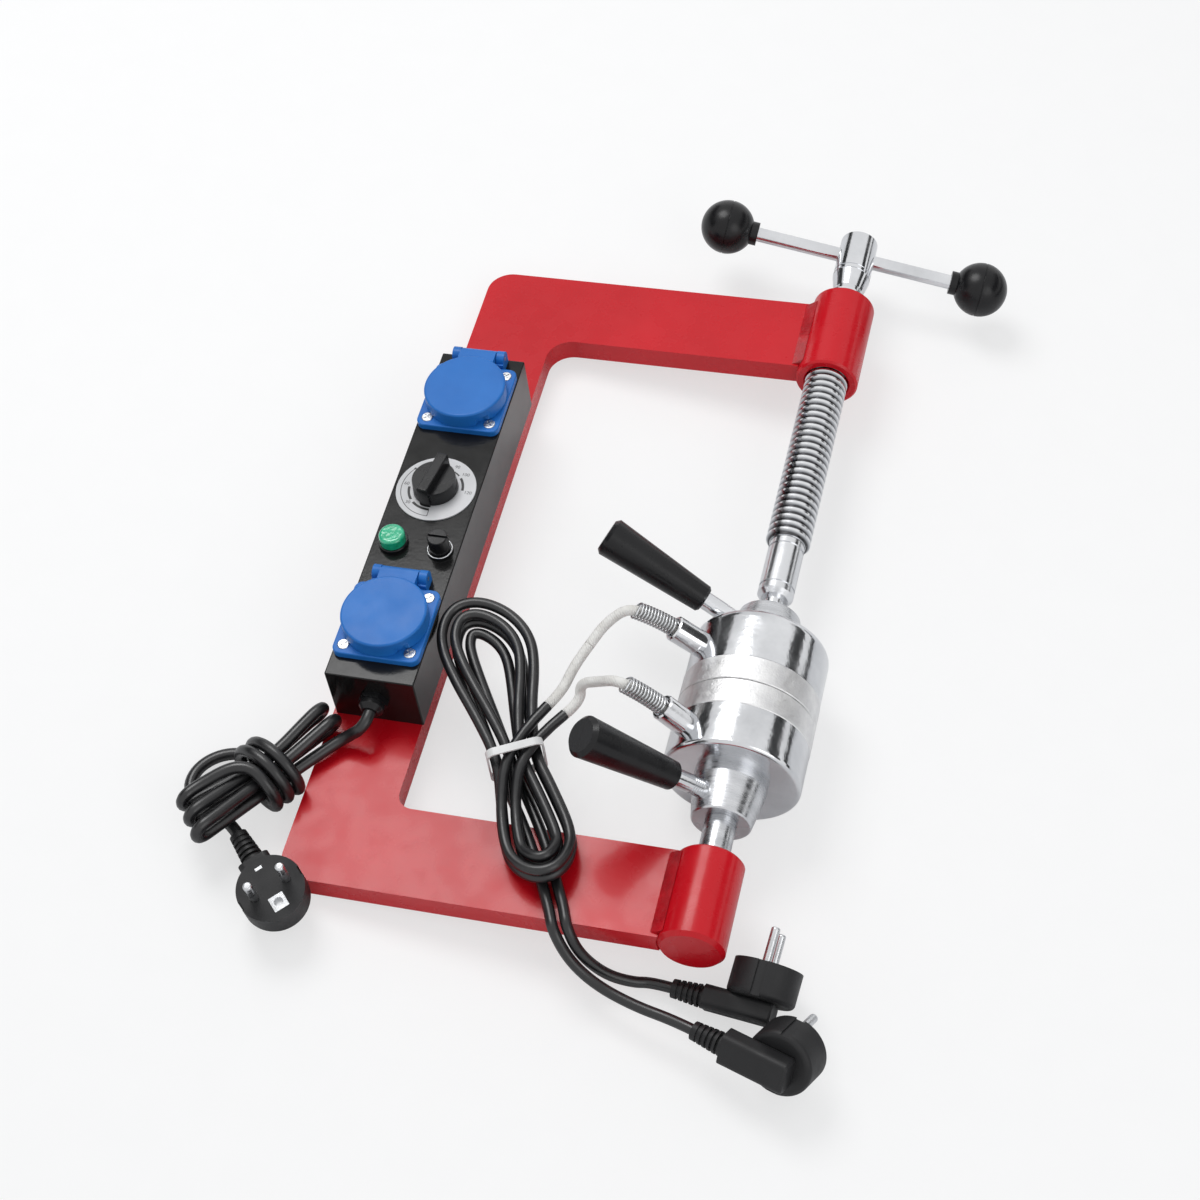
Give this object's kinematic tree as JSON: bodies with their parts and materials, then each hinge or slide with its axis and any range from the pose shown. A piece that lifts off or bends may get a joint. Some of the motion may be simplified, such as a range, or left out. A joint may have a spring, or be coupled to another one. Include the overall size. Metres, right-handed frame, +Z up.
{
  "type": "tire vulcanizer",
  "caption": "Screw press for hot tyre and tube patches: a welded C frame with two heated discs, swivel lock handles, a control box with capped sockets and a dial, and corded plugs, lying down.",
  "frame": {"origin": "on the table, below the middle of the machine without its cords", "axes": "+Z up, +Y along the feed screw toward its tee handle, +X from the frame's spine toward the screw"},
  "size_m": [0.3919, 0.5837, 0.1154],
  "materials": {
    "frame_paint": "gloss red enamel",
    "case_chrome": "bright plated pressing",
    "plated_steel": "zinc or nickel plate",
    "screw_steel": "turned, bright",
    "collar_steel": "turned, bright",
    "cast_aluminium": "machined face",
    "black_plastic": "moulded, semi gloss",
    "grip_plastic": "moulded",
    "box_paint": "fine black powder coat",
    "socket_blue": "moulded, gloss",
    "dial_face": "printed plate",
    "lamp_green": "clear green cap",
    "brass": "turned",
    "cord_black": "smooth jacket",
    "plug_black": "moulded, matt",
    "sleeve_white": "woven glass sleeve",
    "insulation": "mineral fibre",
    "ceramic": "fired",
    "tie_white": "nylon"
  },
  "bodies": {
    "frame": {"frame_plate": "frame_paint", "upper_boss": "frame_paint", "lower_boss": "frame_paint", "weld_beads": "frame_paint", "lower_post": "plated_steel", "control_box": "box_paint", "lid_pins": "plated_steel", "socket_contacts": "brass", "socket_screws": "plated_steel", "thermostat_body": "ceramic", "dial_plate": "dial_face", "lamp_body": "black_plastic", "lamp_lens": "lamp_green", "fuse_holder": "plated_steel", "fuse_link": "ceramic", "cable_gland": "grip_plastic", "lower_socket": "socket_blue", "upper_socket": "socket_blue", "upper_sleeve": "sleeve_white", "lower_sleeve": "sleeve_white", "heater_hank_0": "cord_black", "heater_hank_1": "cord_black", "cable_tie": "tie_white", "heater_tail_0": "cord_black", "heater_tail_1": "cord_black", "heater_plug_0": "plug_black", "heater_plug_1": "plug_black", "supply_cord": "cord_black", "supply_hank": "cord_black", "supply_plug": "plug_black", "plug_pins": "plated_steel"},
    "press_foot": {"thrust_pad": "plated_steel"},
    "feed_screw": {"feed_screw": "screw_steel", "tee_head": "plated_steel"},
    "tommy_bar": {"tommy_bar": "plated_steel", "left_ball_knob": "black_plastic", "right_ball_knob": "black_plastic"},
    "upper_heater": {"upper_collar": "collar_steel", "upper_handle_stem": "plated_steel", "upper_handle_grip": "grip_plastic", "upper_case": "case_chrome", "upper_heating_plate": "cast_aluminium", "upper_heating_element": "ceramic", "upper_insulation": "insulation", "upper_inlet": "plated_steel", "upper_spring": "plated_steel"},
    "lower_heater": {"lower_collar": "collar_steel", "lower_handle_stem": "plated_steel", "lower_handle_grip": "grip_plastic", "lower_case": "case_chrome", "lower_heating_plate": "cast_aluminium", "lower_heating_element": "ceramic", "lower_insulation": "insulation", "lower_inlet": "plated_steel", "lower_spring": "plated_steel"},
    "thermostat_control": {"thermostat_shaft": "plated_steel", "thermostat_knob": "black_plastic"},
    "upper_lid": {"upper_socket_lid": "socket_blue"},
    "lower_lid": {"lower_socket_lid": "socket_blue"},
    "fuse_cap": {"fuse_cap": "black_plastic"}
  },
  "joints": [
    {"name": "feed", "type": "slide", "parent": "frame", "child": "press_foot", "axis": [0, 1, 0], "range_m": [0, 0.12], "deforming": ["upper_sleeve"]},
    {"name": "screw_turn", "type": "hinge", "parent": "press_foot", "child": "feed_screw", "pos_m": [0.06544, -0.0298, 0.0386], "axis": [0, 1, 0], "range_deg": [0, 8640.1]},
    {"name": "upper_swivel", "type": "hinge", "parent": "press_foot", "child": "upper_heater", "pos_m": [0.06544, -0.0548, 0.0386], "axis": [0, 1, 0], "range_deg": [-10, 25], "deforming": ["upper_sleeve"]},
    {"name": "lower_swivel", "type": "hinge", "parent": "frame", "child": "lower_heater", "pos_m": [0.06544, -0.1698, 0.0386], "axis": [0, 1, 0], "range_deg": [-5, 25], "deforming": ["lower_sleeve"]},
    {"name": "bar_slide", "type": "slide", "parent": "feed_screw", "child": "tommy_bar", "axis": [0.9977, 0, -0.0671], "range_m": [-0.0484, 0.0514]},
    {"name": "thermostat_turn", "type": "hinge", "parent": "frame", "child": "thermostat_control", "pos_m": [-0.13886, -0.0175, 0.06422], "axis": [-0.1401, 0, 0.9901], "range_deg": [-280, 10]},
    {"name": "upper_lid_hinge", "type": "hinge", "parent": "frame", "child": "upper_lid", "pos_m": [-0.13843, 0.082, 0.06115], "axis": [-0.9901, 0, -0.1401], "range_deg": [0, 105], "stiffness_Nm_per_rad": 0.02, "springref_deg": -20.05},
    {"name": "lower_lid_hinge", "type": "hinge", "parent": "frame", "child": "lower_lid", "pos_m": [-0.13843, -0.0857, 0.06115], "axis": [-0.9901, 0, -0.1401], "range_deg": [0, 105], "stiffness_Nm_per_rad": 0.02, "springref_deg": -20.05},
    {"name": "fuse_turn", "type": "hinge", "parent": "frame", "child": "fuse_cap", "pos_m": [-0.12375, -0.0606, 0.06232], "axis": [-0.1401, 0, 0.9901], "range_deg": [0, 90]}
  ],
  "couplings": [
    {"joint": "screw_turn", "follows": "feed", "rad_per_m": 1256.6}
  ]
}
